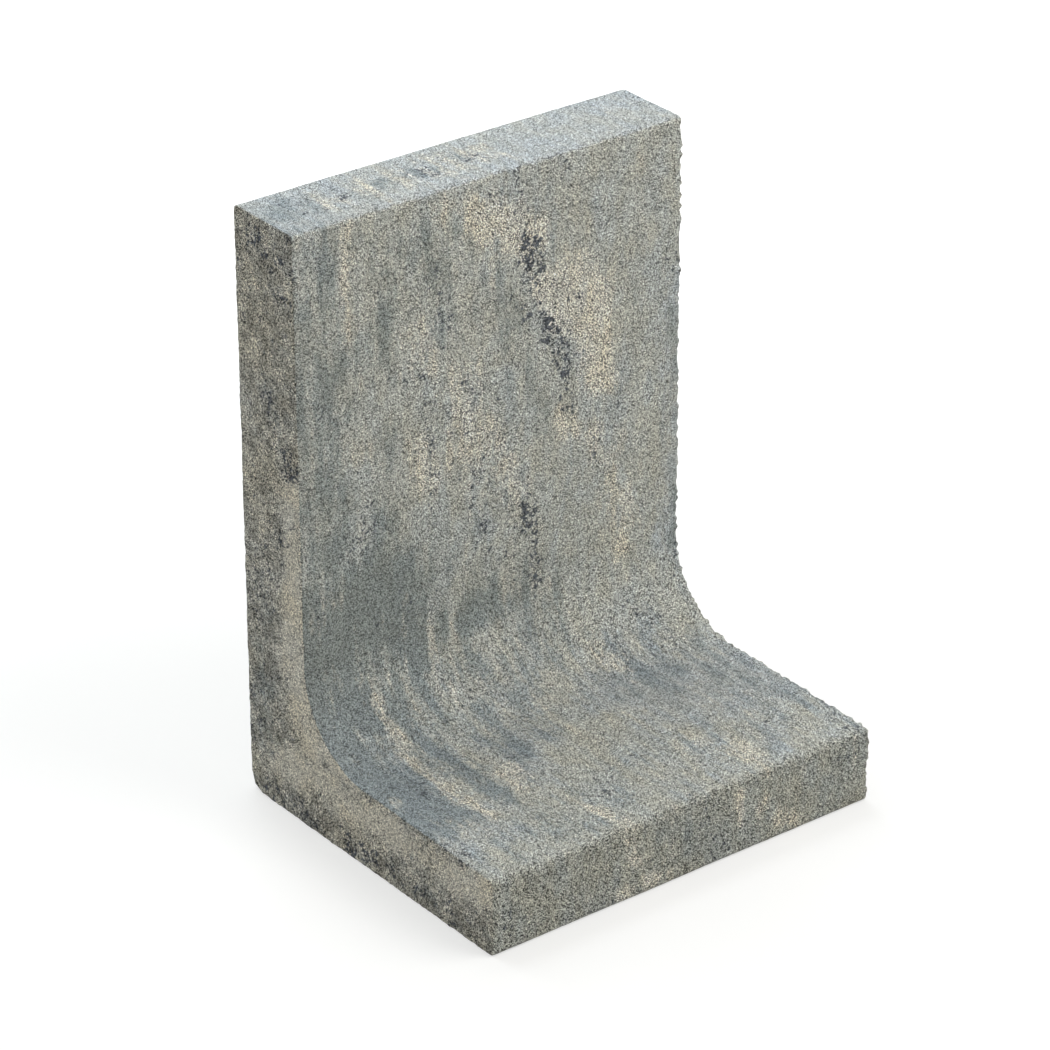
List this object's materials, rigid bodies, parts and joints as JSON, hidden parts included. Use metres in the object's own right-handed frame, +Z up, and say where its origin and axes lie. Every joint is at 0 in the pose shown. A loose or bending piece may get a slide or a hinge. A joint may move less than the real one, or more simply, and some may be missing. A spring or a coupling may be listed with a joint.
{
  "type": "l-shaped concrete block",
  "caption": "L-shaped pressed concrete block: an upright wall and a thick foot that meet in a rounded inner corner, for edging beds and holding back low banks.",
  "frame": {"origin": "middle of the underside, on the ground", "axes": "X along the width, -Y towards the toe of the foot, +Y towards the back of the wall, +Z up"},
  "size_m": [0.295, 0.25, 0.4],
  "materials": {
    "concrete": "pressed concrete, sandy and matt, clouded in slate grey, beige and charcoal"
  },
  "bodies": {
    "root": {"angle_block": "concrete"}
  },
  "joints": []
}
